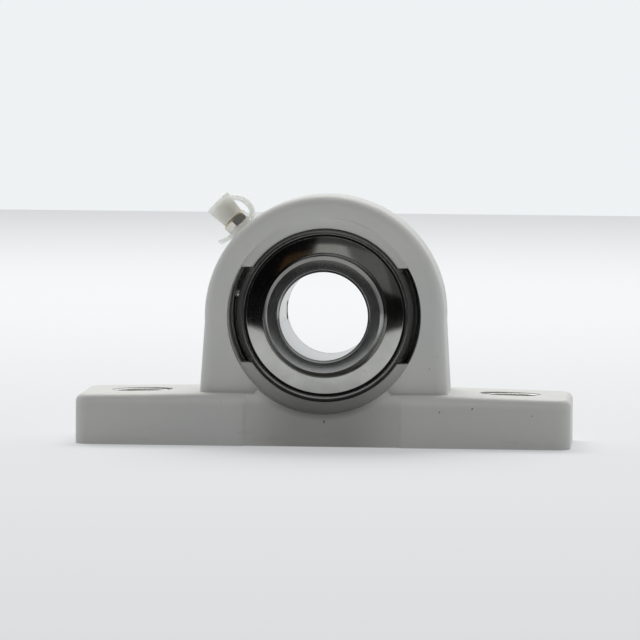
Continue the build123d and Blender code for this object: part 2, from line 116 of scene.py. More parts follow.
# ---------------------------------------------------------------------------------------------
# Studio: a plain pale floor, a wide soft light above and behind, and a room that is bright
# behind the part and dim in front, so the fronts of the parts are lit mostly off the floor.
# ---------------------------------------------------------------------------------------------
class Wire:
    """A socket in a node tree. Arithmetic on it adds Math nodes; node() adds any other node."""

    def __init__(self, socket):
        self.socket = socket
        self.tree = socket.id_data

    def node(self, kind, settings=None, sockets=None, output=0):
        """Adds a node: its settings are set first, then each socket gets a value or a link."""
        added = self.tree.nodes.new(kind)
        for setting, value in (settings or {}).items():
            setattr(added, setting, value)
        for name, value in (sockets or {}).items():
            if isinstance(value, Wire):
                self.tree.links.new(value.socket, added.inputs[name])
            else:
                added.inputs[name].default_value = value
        return Wire(added.outputs[output])

    def math(self, operation, *values):
        return self.node("ShaderNodeMath", {"operation": operation}, dict(enumerate(values)))

    def __add__(self, other):
        return self.math("ADD", self, other)

    def __sub__(self, other):
        return self.math("SUBTRACT", self, other)

    def __mul__(self, other):
        return self.math("MULTIPLY", self, other)

    def __rsub__(self, other):
        return self.math("SUBTRACT", other, self)

    __radd__ = __add__
    __rmul__ = __mul__

    def clipped(self):
        return self.math("MINIMUM", self.math("MAXIMUM", self, 0.0), 1.0)

    def between(self, low, high):
        """0 below low, 1 above high, and a smooth step between them."""
        return self.node(
            "ShaderNodeMapRange",
            {"interpolation_type": "SMOOTHSTEP"},
            {"Value": self, "From Min": low, "From Max": high},
        )

    def noise(self, scale, detail=2.0, roughness=0.5, stretch=None):
        """Noise over this place; scale is in waves per metre."""
        place = self if stretch is None else self.stretched(stretch)
        waves = {"Vector": place, "Scale": scale, "Detail": detail, "Roughness": roughness}
        return place.node("ShaderNodeTexNoise", None, waves)

    def stretched(self, factors):
        return self.node("ShaderNodeVectorMath", {"operation": "MULTIPLY"}, {0: self, 1: factors})

    def blended(self, first, second):
        """The first colour where this is 0, the second where it is 1."""
        mixed = {0: self, 6: first, 7: second}
        return self.node("ShaderNodeMix", {"data_type": "RGBA"}, mixed, output=2)

    def along(self, axis):
        """One number of a vector: 0 for x, 1 for y, 2 for z."""
        return self.node("ShaderNodeSeparateXYZ", None, {0: self}, axis)


world = bpy.data.worlds.new("studio_room")
world.use_nodes = True
bpy.context.scene.world = world
room = Wire(world.node_tree.nodes["Background"].inputs["Color"])
room_direction = room.node("ShaderNodeTexCoord", output=0)
room_y = room_direction.along(1)
room_z = room_direction.along(2)
bright_backdrop = (0.86, 0.89, 0.90, 1.0)
grey_ceiling = (0.55, 0.55, 0.55, 1.0)
dim_front = (0.07, 0.07, 0.07, 1.0)
room_shade = room_y.between(-0.35, 0.35).blended(dim_front, bright_backdrop)
room_shade = room_z.between(0.35, 0.9).blended(room_shade, grey_ceiling)
world.node_tree.links.new(room_shade.socket, room.socket)
world.node_tree.nodes["Background"].inputs["Strength"].default_value = 1.0

floor_left, floor_right = -12.0, 12.0
floor_front, floor_back = -12.0, 1.6
floor_height = cad_box[0][2]
floor_corners = [
    (floor_left, floor_front, floor_height),
    (floor_right, floor_front, floor_height),
    (floor_right, floor_back, floor_height),
    (floor_left, floor_back, floor_height),
]
floor_mesh = bpy.data.meshes.new("studio_floor")
floor_mesh.from_pydata(floor_corners, [], [(0, 1, 2, 3)])
floor_object = bpy.data.objects.new("studio_floor", floor_mesh)
bpy.context.scene.collection.objects.link(floor_object)
floor_material = bpy.data.materials.new("studio_floor")
floor_material.use_nodes = True
floor_shader = floor_material.node_tree.nodes["Principled BSDF"]
floor_shader.inputs["Base Color"].default_value = (0.56, 0.57, 0.58, 1.0)
floor_shader.inputs["Roughness"].default_value = 1.0
floor_shader.inputs["Specular IOR Level"].default_value = 0.0
floor_shader.inputs["Emission Color"].default_value = (0.97, 0.985, 1.0, 1.0)
floor_shader.inputs["Emission Strength"].default_value = 0.31
floor_mesh.materials.append(floor_material)


def soft_light(name, place, size, power, colour=(1.0, 1.0, 1.0)):
    """A rectangular soft light that faces the bearing."""
    light_data = bpy.data.lights.new(name, "AREA")
    light_data.shape = "RECTANGLE"
    light_data.size, light_data.size_y = size
    light_data.energy = power
    light_data.color = colour
    light = bpy.data.objects.new(name, light_data)
    light.location = place
    light.rotation_euler = (bore_centre - Vector(place)).to_track_quat("-Z", "Y").to_euler()
    bpy.context.scene.collection.objects.link(light)


soft_light("overhead_softbox", (-0.10, 0.85, 1.15), (1.2, 0.8), 11.0, (1.0, 0.985, 0.96))
soft_light("front_fill", (-0.6, -1.6, 1.1), (0.9, 0.6), 0.4)


def reflector_card(name, depth, low_corner, high_corner, shade):
    """An upright card in front of the bearing, which only the polished steel sees."""
    (left, bottom), (right, top) = low_corner, high_corner
    mesh = bpy.data.meshes.new(name)
    corners = [(left, depth, bottom), (right, depth, bottom), (right, depth, top), (left, depth, top)]
    mesh.from_pydata(corners, [], [(0, 1, 2, 3)])
    material = bpy.data.materials.new(name)
    material.use_nodes = True
    card_shader = material.node_tree.nodes["Principled BSDF"]
    card_shader.inputs["Base Color"].default_value = (0.0, 0.0, 0.0, 1.0)
    card_shader.inputs["Specular IOR Level"].default_value = 0.0
    card_shader.inputs["Emission Color"].default_value = (*shade, 1.0)
    card_shader.inputs["Emission Strength"].default_value = 1.0
    mesh.materials.append(material)
    card = bpy.data.objects.new(name, mesh)
    bpy.context.scene.collection.objects.link(card)
    card.visible_camera = False
    card.visible_diffuse = False
    card.visible_shadow = False
    card.visible_transmission = False


card_depth = ring_low.y - 0.26
card_joint = 0.050
card_edge = -0.03
grey_split = 0.012
grey_top = 0.12
cards = {
    "low_black_card": ((-0.8, 0.0), (0.8, card_joint), (0.006, 0.006, 0.006)),
    "left_black_card": ((-0.8, card_joint), (card_edge, 0.4), (0.004, 0.004, 0.004)),
    "top_grey_card": ((card_edge, card_joint), (grey_split, grey_top), (0.40, 0.40, 0.39)),
    "right_grey_card": ((grey_split, card_joint), (0.075, grey_top), (0.15, 0.15, 0.15)),
    "warm_card": ((-0.072, 0.066), (-0.036, 0.10), (0.05, 0.028, 0.013)),
}
for card_name, (low_corner, high_corner, shade) in cards.items():
    just_behind = 0.002 if card_name == "warm_card" else 0.0
    reflector_card(card_name, card_depth + just_behind, low_corner, high_corner, shade)


# ---------------------------------------------------------------------------------------------
# Housing: one moulding in white thermoplastic polyester, with a fine matt grain from the mould,
# soft moulded edges, a few dark specks in the resin and handling scuffs low on the foot. Painted
# shade darkens the low front faces and the plastic below the bearing.
# ---------------------------------------------------------------------------------------------
def new_material(name, **uniform):
    """A material, its shader and its Object coordinates; values that don't vary go on the shader."""
    material = bpy.data.materials.new(name)
    material.use_nodes = True
    shader = material.node_tree.nodes["Principled BSDF"]
    for socket, value in uniform.items():
        shader.inputs[socket.replace("_", " ")].default_value = value
    place = Wire(shader.inputs["Base Color"]).node("ShaderNodeTexCoord", output=3)
    return material, shader, place


def drive(shader, socket, wire):
    shader.id_data.links.new(wire.socket, shader.inputs[socket])


def bump(shader, height, distance, strength):
    """Raises the surface by height, a wire from 0 to 1, times distance in metres."""
    sockets = {"Height": height, "Distance": distance, "Strength": strength}
    drive(shader, "Normal", height.node("ShaderNodeBump", None, sockets))


def finished(piece, material, body, slot_name, *nodes, sharp=40.0):
    """Gives a piece its material, smooth shading and its place in the frame."""
    piece.data.materials.clear()
    piece.data.materials.append(material)
    piece.data.shade_smooth()
    piece.data.set_sharp_from_angle(angle=radians(sharp))
    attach(piece, body)
    if nodes:
        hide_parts(*nodes)
    return piece


def add_object(name, mesh):
    piece = bpy.data.objects.new(name, mesh)
    bpy.context.scene.collection.objects.link(piece)
    return piece


def settle(piece):
    """Turns a piece's modifiers into its plain mesh."""
    bpy.context.view_layer.update()
    evaluated = piece.evaluated_get(bpy.context.evaluated_depsgraph_get())
    mesh = bpy.data.meshes.new_from_object(evaluated)
    piece.modifiers.clear()
    piece.data = mesh
    return piece


same_place = 0.002 * mm
flat_enough = radians(0.2)
hard_edge = radians(35)


def softened_copy(name, node, softness):
    """A CAD piece's own shape as clean faces, with its hard edges rounded off."""
    mesh = frame["nodes"][node].data.copy()
    mesh.materials.clear()
    editing = bmesh.new()
    editing.from_mesh(mesh)
    bmesh.ops.remove_doubles(editing, verts=editing.verts, dist=same_place)
    bmesh.ops.dissolve_limit(editing, angle_limit=flat_enough, verts=editing.verts, edges=editing.edges)
    editing.to_mesh(mesh)
    editing.free()
    piece = add_object(name, mesh)
    rounding = piece.modifiers.new("soft_edges", "BEVEL")
    rounding.width = softness
    rounding.segments = 3
    rounding.limit_method = "ANGLE"
    rounding.angle_limit = hard_edge
    weighting = piece.modifiers.new("flat_faces", "WEIGHTED_NORMAL")
    weighting.keep_sharp = True
    return settle(piece)


housing = softened_copy("moulded_housing", "housing", 0.22 * mm)

plastic, plastic_shader, place = new_material(
    "moulded_white_polyester",
    IOR=1.49,
    Subsurface_Weight=0.08,
    Subsurface_Scale=0.002,
    Subsurface_Radius=(1.0, 1.0, 1.0),
)
cloud = place.noise(38.0, 3.0, 0.55)
mottle = place.noise(420.0, 3.0, 0.6)
speck = place.noise(650.0, 1.0, 0.4).between(0.79, 0.82)
height_up = place.along(2)
scuffs = place.noise(90.0, 4.0, 0.7, stretch=(1.0, 1.0, 5.0)).between(0.56, 0.74)
low_down = 1 - height_up.between(0.5 * mm, 9 * mm)
tone = cloud.between(0.35, 0.65).blended((0.675, 0.682, 0.665, 1.0), (0.72, 0.72, 0.69, 1.0))
tone = (mottle.between(0.45, 0.75) * 0.18).blended(tone, (0.68, 0.68, 0.66, 1.0))
tone = (scuffs * low_down * 0.35).blended(tone, (0.42, 0.42, 0.39, 1.0))
along = place.along(1)
# Painted shade: the front faces below about 12 mm, on the foot and the web under the bearing, are
# painted a darker grey.
on_front = 1 - along.between(-16.5 * mm, -13.5 * mm)
painted_foot_shade = on_front * (1 - height_up.between(11 * mm, 13.5 * mm))
tone = (painted_foot_shade * (0.30 + cloud * 0.14)).blended(tone, (0.42, 0.42, 0.40, 1.0))
# Painted shade: the front of the plastic well below the bore is painted nearly black, most in the
# middle and near the counterbore's edge.
sideways = place.along(0)
below_bore = bore_centre.z - height_up
from_bore = height_up.math("SQRT", sideways * sideways + below_bore * below_bore)
shade_width = 1 - sideways.math("ABSOLUTE", sideways).between(6 * mm, 27 * mm)
in_front = 1 - along.between(-12 * mm, -6 * mm)
lip_shade_and_cage_oil = shade_width * below_bore.between(10 * mm, 26 * mm) * in_front
near_lip = 1 - from_bore.between(27.6 * mm, 29.5 * mm)
shade_below_bore = (lip_shade_and_cage_oil * (0.38 + near_lip * 0.35 + cloud * 0.15)).clipped()
tone = shade_below_bore.blended(tone, (0.17, 0.165, 0.15, 1.0))
tone = (speck * 0.8).blended(tone, (0.12, 0.11, 0.10, 1.0))
drive(plastic_shader, "Base Color", tone)
drive(plastic_shader, "Roughness", 0.46 + mottle * 0.16)
grain = place.noise(2600.0, 2.0, 0.6)
orange_peel = place.noise(260.0, 2.0, 0.5)
bump(plastic_shader, grain * 0.7 + orange_peel * 0.8, 0.012 * mm, 0.8)
finished(housing, plastic, "housing", "housing_plastic", "housing")


def skinned(name, hoops):
    """A closed skin over a row of hoops, which are loops of places with one length."""
    skin = bmesh.new()
    rings = [[skin.verts.new(spot) for spot in hoop] for hoop in hoops]
    for near, far in zip(rings, rings[1:]):
        for number in range(len(near)):
            beside = (number + 1) % len(near)
            skin.faces.new((near[number], near[beside], far[beside], far[number]))
    skin.faces.new(rings[0])
    skin.faces.new(list(reversed(rings[-1])))
    bmesh.ops.recalc_face_normals(skin, faces=skin.faces)
    mesh = bpy.data.meshes.new(name)
    skin.to_mesh(mesh)
    skin.free()
    return add_object(name, mesh)


def mould_flash(name, start, end, inner, widest, depth_at, thickness=0.09):
    """A paper-thin ragged skin of resin left along a round edge, between two angles in degrees."""
    steps = ceil((end - start) * 4)
    middle = Vector((0, 0, bore_centre.z))
    rails = []
    for step in range(steps + 1):
        turn = radians(start + (end - start) * step / steps)
        fade = sin(pi * step / steps) ** 0.5
        ragged = 0.55 + 0.25 * sin(turn * 61 + 2 * sin(turn * 23)) + 0.2 * sin(turn * 143 + 1.3)
        rail = []
        for reach in (inner - 0.05, inner + widest * fade * ragged):
            spot = Vector((reach * cos(turn), 0, reach * sin(turn))) * mm
            for lift in (0.03, -thickness):
                spot.y = (depth_at(bore_centre.z / mm + reach * sin(turn)) + lift) * mm
                rail.append(middle + spot)
        rails.append([rail[0], rail[1], rail[3], rail[2]])
    finished(skinned(name, rails), plastic, "housing", "housing_plastic")


foot_height = 14.7
arch_top = 70.5
arch_face_depths = (-14.5, -10.4)


def arch_face(height):
    """How far forward the arch's leaning front face stands at a height."""
    share = (height - foot_height) / (arch_top - foot_height)
    return arch_face_depths[0] + (arch_face_depths[1] - arch_face_depths[0]) * share


counterbore_radius = 27.45
seat_lip = -9.0
mould_flash("upper_edge_flash", 57, 86, counterbore_radius, 0.75, arch_face)
mould_flash("side_edge_flash", 112, 131, counterbore_radius, 0.3, arch_face)
mould_flash("lower_lip_fleck", 219.5, 222.5, 24.75, 1.6, lambda height: seat_lip)


# ---------------------------------------------------------------------------------------------
# Slot bushings: two short sleeves bent from bright stainless strip, pressed into the foot so that
# the bolts clamp on steel. Their top rims are broken with a small chamfer and carry drag marks.
# ---------------------------------------------------------------------------------------------
bushing_steel, bushing_shader, place = new_material("pressed_stainless_sleeve", Metallic=1.0)
draw_lines = place.noise(5200.0, 2.0, 0.7, stretch=(1.0, 1.0, 0.06))
smears = place.noise(240.0, 3.0, 0.6)
drive(
    bushing_shader,
    "Base Color",
    smears.between(0.3, 0.7).blended((0.60, 0.59, 0.57, 1.0), (0.74, 0.73, 0.71, 1.0)),
)
drive(bushing_shader, "Roughness", 0.16 + draw_lines * 0.14 + smears * 0.10)
bump(bushing_shader, draw_lines, 0.006 * mm, 0.7)

for side in ("left", "right"):
    bushing = softened_copy(f"slot_sleeve_{side}", f"slot_bushing_{side}", 0.1 * mm)
    finished(bushing, bushing_steel, "housing", "bushing_steel", f"slot_bushing_{side}")


# ---------------------------------------------------------------------------------------------
# Outer ring: a ground ring of stainless bearing steel, ball-shaped outside so that it swivels in
# its seat, with a raceway and two seal grooves inside. Its faces show fine turning lines.
# ---------------------------------------------------------------------------------------------
def rounded_outline(corners):
    """Points of an outline; each corner is (radius, height, roundness), all in millimetres."""
    outline = []
    for number, (radius, height, roundness) in enumerate(corners):
        corner = Vector((radius, height))
        if roundness == 0:
            outline.append(corner)
            continue
        before = Vector(corners[number - 1][:2]) - corner
        after = Vector(corners[(number + 1) % len(corners)][:2]) - corner
        half_angle = before.angle(after) / 2
        reach = min(roundness / tan(half_angle), 0.48 * before.length, 0.48 * after.length)
        start = corner + before.normalized() * reach
        end = corner + after.normalized() * reach
        for step in range(6):
            share = step / 5
            outline.append(start * (1 - share) ** 2 + corner * 2 * share * (1 - share) + end * share**2)
    return [(point.x, point.y) for point in outline]


def round_arc(centre_radius, centre_height, radius, start, end, steps):
    """Outline points on an arc, from one angle to another in degrees."""
    turns = [radians(start + (end - start) * step / steps) for step in range(steps + 1)]
    arc = [(radius * cos(turn), radius * sin(turn)) for turn in turns]
    return [(centre_radius + out, centre_height + up, 0) for out, up in arc]


def turned(name, outline, count, stance, joined=True):
    """A turned skin through (radius, height) rings in millimetres, in the stance's frame.

    A radius may be a function of the angle and height. A skin that isn't joined ends in poles.
    """
    editing = bmesh.new()
    rings = []
    for radius, height in outline:
        if not callable(radius) and radius < 1e-6:
            rings.append([editing.verts.new(stance @ Vector((0, 0, height * mm)))])
            continue
        ring = []
        for number in range(count):
            angle = 2 * pi * number / count
            reach = radius(angle, height) if callable(radius) else radius
            spot = Vector((reach * cos(angle), reach * sin(angle), height)) * mm
            ring.append(editing.verts.new(stance @ spot))
        rings.append(ring)
    pairs = list(zip(rings, rings[1:] + rings[:1] if joined else rings[1:]))
    for near, far in pairs:
        for number in range(count):
            beside = (number + 1) % count
            if len(near) == 1 and len(far) == 1:
                continue
            if len(near) == 1:
                editing.faces.new((near[0], far[number], far[beside]))
            elif len(far) == 1:
                editing.faces.new((near[number], far[0], near[beside]))
            else:
                editing.faces.new((near[number], far[number], far[beside], near[beside]))
    bmesh.ops.recalc_face_normals(editing, faces=editing.faces)
    mesh = bpy.data.meshes.new(name)
    editing.to_mesh(mesh)
    editing.free()
    return add_object(name, mesh)


def cut_away(piece, *cutters):
    """Takes the cutters' room out of a piece, then deletes them."""
    for cutter in cutters:
        cut = piece.modifiers.new("cut", "BOOLEAN")
        cut.operation = "DIFFERENCE"
        cut.solver = "EXACT"
        cut.object = cutter
    settle(piece)
    for cutter in cutters:
        bpy.data.objects.remove(cutter)


def radial_stance(angle, distance, axial=0.0):
    """A frame whose z points away from the shaft, at an angle in degrees; its x runs along it."""
    outwards = Vector((cos(radians(angle)), 0, sin(radians(angle))))
    along = Vector((0, 1, 0))
    origin = bore_centre + outwards * distance * mm + along * axial * mm
    across = outwards.cross(along)
    columns = Matrix((along, across, outwards)).transposed().to_4x4()
    return Matrix.Translation(origin) @ columns


shaft_stance = Matrix.Translation(bore_centre) @ Matrix(
    ((1, 0, 0, 0), (0, 0, 1, 0), (0, -1, 0, 0), (0, 0, 0, 1))
)


def round_the_shaft(place):
    """The place as (radius, turn, axial) about the shaft, in metres and radians."""
    x = place.along(0)
    y = place.along(1)
    z = place.along(2) - bore_centre.z
    radius = x.math("SQRT", x * x + z * z)
    turn = z.math("ARCTAN2", z, x)
    return place.node("ShaderNodeCombineXYZ", None, {0: radius, 1: turn, 2: y})


def ground_steel(name, dark, light, gloss, line_depth, line_scale=9000.0):
    """Turned and ground steel: fine lines round the shaft, a faint cloudy sheen, and painted shade on
    the outer ring's outer part and the bore.
    """
    material, shader, place = new_material(name, Metallic=1.0)
    lines = round_the_shaft(place).noise(line_scale, 2.0, 0.75, stretch=(1.0, 0.00025, 1.0))
    sheen = place.noise(130.0, 3.0, 0.55)
    specks = place.noise(1500.0, 2.0, 0.6).between(0.66, 0.78)
    tone = (sheen.between(0.3, 0.7) * 0.6 + lines * 0.4).blended((*dark, 1.0), (*light, 1.0))
    radius = round_the_shaft(place).along(0)
    # Painted shade: the outer ring beyond 21.5 mm radius and the bore wall are painted darker.
    outer_ring_painted_shade = radius.between(20.5 * mm, 21.5 * mm) * 0.22
    bore_painted_shade = (1 - radius.between(12.53 * mm, 12.7 * mm)) * 0.22
    tone = (outer_ring_painted_shade + bore_painted_shade).blended(tone, (0.02, 0.02, 0.02, 1.0))
    speck_tone = (*(value * 0.5 for value in dark), 1.0)
    drive(shader, "Base Color", (specks * 0.25).blended(tone, speck_tone))
    drive(shader, "Roughness", gloss + lines * 0.09 + sheen * 0.05)
    bump(shader, lines, line_depth * mm, 0.8)
    return material


sphere_radius = 26.0
ring_half_width = 8.5
ring_corner = 0.9
shoulder_radius = 21.6
mouth_radius = 22.95
seal_groove_radius = 23.35
seal_groove = (6.2, 7.6)
race_circle = 19.3
race_bottom = 23.281
race_curve = 4.088
race_half_width = 3.75

in_degrees = 57.29578
sphere_reach = ring_half_width - ring_corner
sphere_turn = in_degrees * atan2(sphere_reach, sqrt(sphere_radius**2 - sphere_reach**2))
race_turn = in_degrees * atan2(race_half_width, shoulder_radius - race_bottom + race_curve)
edge_radius = sqrt(sphere_radius**2 - ring_half_width**2) - ring_corner
outer_corners = round_arc(0, 0, sphere_radius, -sphere_turn, sphere_turn, 64)
outer_corners += [
    (edge_radius, ring_half_width, 0.25),
    (mouth_radius, ring_half_width, 0.15),
    (mouth_radius, seal_groove[1], 0),
    (seal_groove_radius, seal_groove[1], 0),
    (seal_groove_radius, seal_groove[0], 0),
    (shoulder_radius, seal_groove[0], 0.1),
]
outer_corners += round_arc(race_bottom - race_curve, 0, race_curve, race_turn, -race_turn, 24)
outer_corners += [
    (shoulder_radius, -seal_groove[0], 0.1),
    (seal_groove_radius, -seal_groove[0], 0),
    (seal_groove_radius, -seal_groove[1], 0),
    (mouth_radius, -seal_groove[1], 0),
    (mouth_radius, -ring_half_width, 0.15),
    (edge_radius, -ring_half_width, 0.25),
]
outer_ring = turned("swivelling_outer_ring", rounded_outline(outer_corners), 288, shaft_stance)

lube_angle, lube_axial, lube_radius = 135.0, 4.9, 0.75
lube_tool = turned(
    "lube_drill",
    [(0, -3), (lube_radius, -3), (lube_radius, 3), (0, 3)],
    32,
    radial_stance(lube_angle, 24.5, lube_axial),
    joined=False,
)
lock_angle, lock_axial, lock_radius = 167.0, -4.5, 1.25
lock_circle = sqrt(sphere_radius**2 - lock_axial**2)
pocket_radius = 1.29
pocket_turns = [radians(tilt) for tilt in range(-75, 90, 15)]
pocket_tool = turned(
    "lock_pocket_mill",
    [(0, -pocket_radius)]
    + [(pocket_radius * cos(turn), pocket_radius * sin(turn)) for turn in pocket_turns]
    + [(0, pocket_radius)],
    48,
    radial_stance(lock_angle, lock_circle, lock_axial),
    joined=False,
)
cut_away(outer_ring, lube_tool, pocket_tool)
ring_steel = ground_steel(
    "ground_ring_steel", (0.33, 0.33, 0.325), (0.42, 0.42, 0.415), gloss=0.10, line_depth=0.003
)
finished(outer_ring, ring_steel, "outer_ring", "ring_steel", "outer_ring")


# ---------------------------------------------------------------------------------------------
# Inner ring: a long ground ring that slides on the shaft, with a chamfer at each rim, a raceway
# outside and two tapped holes in its longer rear end for the set screws.
# ---------------------------------------------------------------------------------------------
bore_radius = 12.5
inner_radius = 17.0
inner_front, inner_rear = -14.3, 19.8
bore_chamfer, rim_chamfer = 0.7, 1.05
chamfer_edge = 0.12
inner_race_bottom = 15.319
inner_race_turn = in_degrees * atan2(race_half_width, inner_race_bottom + race_curve - inner_radius)
inner_corners = [
    (inner_radius, inner_rear - rim_chamfer, chamfer_edge),
    (inner_radius - rim_chamfer, inner_rear, chamfer_edge),
    (bore_radius + bore_chamfer, inner_rear, chamfer_edge),
    (bore_radius, inner_rear - bore_chamfer, chamfer_edge),
    (bore_radius, inner_front + bore_chamfer, chamfer_edge),
    (bore_radius + bore_chamfer, inner_front, chamfer_edge),
    (inner_radius - rim_chamfer, inner_front, chamfer_edge),
    (inner_radius, inner_front + rim_chamfer, chamfer_edge),
]
inner_corners += round_arc(
    inner_race_bottom + race_curve, 0, race_curve, 180 + inner_race_turn, 180 - inner_race_turn, 24
)
inner_ring = turned("shaft_inner_ring", rounded_outline(inner_corners), 288, shaft_stance)

screw_angles = (180.0, 60.0)
screw_axial = 14.8
tapped_radius = 3.0
tools = []
for number, angle in enumerate(screw_angles):
    tap = turned(
        f"screw_tap_{number}",
        [(0, 0), (tapped_radius, 0), (tapped_radius, inner_radius + 2), (0, inner_radius + 2)],
        72,
        radial_stance(angle, 0, screw_axial),
        joined=False,
    )
    tools.append(tap)
cut_away(inner_ring, *tools)
finished(inner_ring, ring_steel, "shaft_ring", "ring_steel", "inner_ring")


# ---------------------------------------------------------------------------------------------
# Set screws: short grub screws with a rolled thread, a hexagon socket and a chamfered point. They
# are turned in against the shaft and hold the inner ring to it.
# ---------------------------------------------------------------------------------------------
screw_radius = 2.95
screw_length = 5.0
screw_tip_inset = 0.1
thread_pitch = 1.0
thread_depth = 0.5
end_chamfer = 0.6
socket_apothem = 1.5
socket_depth = 2.5
thread_step = 0.05


def screw_flank(angle, height):
    """Radius of the helical thread, which runs out into a chamfer at both ends."""
    wave = abs(2 * ((height / thread_pitch - angle / (2 * pi)) % 1.0) - 1)
    crest = screw_radius - thread_depth * min(max((wave - 0.12) / 0.76, 0.0), 1.0)
    to_end = min(height, screw_length - height)
    return min(crest, screw_radius - end_chamfer + to_end)


def hexagon(apothem, turn=0.0):
    """Radius of a hexagon at an angle, for half of its width over flats and the turn of one flat."""

    def reach(angle, height):
        return apothem / cos((angle - turn + pi / 6) % (pi / 3) - pi / 6)

    return reach


screw_steel, screw_shader, place = new_material("rolled_screw_steel", Metallic=1.0)
roll_marks = place.noise(3800.0, 3.0, 0.65)
stain = place.noise(320.0, 3.0, 0.6)
drive(
    screw_shader,
    "Base Color",
    stain.between(0.35, 0.7).blended((0.47, 0.46, 0.45, 1.0), (0.33, 0.32, 0.31, 1.0)),
)
drive(screw_shader, "Roughness", 0.26 + roll_marks * 0.18)
bump(screw_shader, roll_marks, 0.008 * mm, 0.7)

thread_heights = [thread_step * step for step in range(int(screw_length / thread_step) + 1)]
screw_outline = [(0, 0)] + [(screw_flank, height) for height in thread_heights]
screw_outline += [
    (socket_apothem * 1.2, screw_length),
    (hexagon(socket_apothem), screw_length - 0.12),
    (hexagon(socket_apothem), screw_length - socket_depth),
    (0, screw_length - socket_depth - 0.5),
]
for number, angle in enumerate(screw_angles, start=1):
    stance = radial_stance(angle, bore_radius + screw_tip_inset, screw_axial)
    screw = turned(f"grub_screw_{number}", screw_outline, 96, stance, joined=False)
    finished(screw, screw_steel, f"set_screw_{number}", "screw_steel", f"set_screw_{number}")


# ---------------------------------------------------------------------------------------------
# Balls: nine lapped balls of stainless bearing steel, the small ball that keeps the outer ring
# from turning in its seat, and the check ball inside the grease nipple.
# ---------------------------------------------------------------------------------------------
def tree_input(tree, name, kind, default=None):
    socket = tree.interface.new_socket(name=name, in_out="INPUT", socket_type=kind)
    if default is not None:
        socket.default_value = default
    return socket.identifier


ball_tree = bpy.data.node_groups.new("lapped_ball", "GeometryNodeTree")
ball_radius_input = tree_input(ball_tree, "Ball radius", "NodeSocketFloat", 0.004)
ball_centre_input = tree_input(ball_tree, "Ball centre", "NodeSocketVector")
ball_finish_input = tree_input(ball_tree, "Finish", "NodeSocketMaterial")
ball_tree.interface.new_socket(name="Geometry", in_out="OUTPUT", socket_type="NodeSocketGeometry")
ball_inputs = ball_tree.nodes.new("NodeGroupInput")
ball_output = ball_tree.nodes.new("NodeGroupOutput")
ball_shape = Wire(ball_inputs.outputs["Ball radius"]).node(
    "GeometryNodeMeshUVSphere",
    None,
    {"Segments": 72, "Rings": 36, "Radius": Wire(ball_inputs.outputs["Ball radius"])},
)
ball_placed = ball_shape.node(
    "GeometryNodeTransform",
    None,
    {"Geometry": ball_shape, "Translation": Wire(ball_inputs.outputs["Ball centre"])},
)
ball_real = ball_placed.node("GeometryNodeRealizeInstances", None, {"Geometry": ball_placed})
ball_finished = ball_real.node(
    "GeometryNodeSetMaterial",
    None,
    {"Geometry": ball_real, "Material": Wire(ball_inputs.outputs["Finish"])},
)
ball_tree.links.new(ball_finished.socket, ball_output.inputs["Geometry"])


def from_tree(name, tree, values):
    """A piece made by a tree, as a plain mesh."""
    piece = add_object(name, bpy.data.meshes.new(name))
    making = piece.modifiers.new("making", "NODES")
    making.node_group = tree
    for identifier, value in values.items():
        making[identifier] = value
    return settle(piece)


ball_steel, ball_shader, place = new_material("lapped_ball_steel", Metallic=1.0)
haze = place.noise(700.0, 3.0, 0.6)
drive(ball_shader, "Base Color", haze.blended((0.52, 0.52, 0.51, 1.0), (0.62, 0.62, 0.61, 1.0)))
drive(ball_shader, "Roughness", 0.05 + haze.between(0.4, 0.8) * 0.09)
bump(ball_shader, haze, 0.001 * mm, 0.4)


def place_ball(name, radius, stance, body, slot_name, node):
    values = {
        ball_radius_input: radius * mm,
        ball_centre_input: stance.translation,
        ball_finish_input: ball_steel,
    }
    ball = from_tree(name, ball_tree, values)
    finished(ball, ball_steel, body, slot_name, node, sharp=180.0)


ball_radius = 3.969
ball_count = 9
ball_spacing = 360 / ball_count
for number in range(ball_count):
    stance = radial_stance(90 + number * ball_spacing, race_circle)
    ball_name = f"ball_{number + 1}"
    place_ball(f"race_{ball_name}", ball_radius, stance, ball_name, "ball_steel", ball_name)
lock_stance = radial_stance(lock_angle, lock_circle, lock_axial)
place_ball("ring_lock_ball", lock_radius, lock_stance, "outer_ring", "ball_steel", "rotation_lock_ball")


# ---------------------------------------------------------------------------------------------
# Cage: two halves pressed from thin stainless sheet, with a round pocket over each ball, held
# together by nine rivets whose heads are set into low domes.
# ---------------------------------------------------------------------------------------------
cage_steel, cage_shader, place = new_material("pressed_cage_steel", Metallic=1.0)
press_marks = place.noise(1500.0, 3.0, 0.6, stretch=(1.0, 0.35, 1.0))
lip_shade_and_cage_oil = place.noise(210.0, 2.0, 0.5)
drive(
    cage_shader,
    "Base Color",
    lip_shade_and_cage_oil.between(0.35, 0.65).blended((0.52, 0.50, 0.46, 1.0), (0.61, 0.60, 0.57, 1.0)),
)
drive(cage_shader, "Roughness", 0.2 + press_marks * 0.16)
bump(cage_shader, press_marks, 0.006 * mm, 0.7)
for side in ("front", "rear"):
    half = softened_copy(f"pressed_cage_{side}", f"cage_{side}", 0.05 * mm)
    finished(half, cage_steel, "cage", "cage_steel", f"cage_{side}")

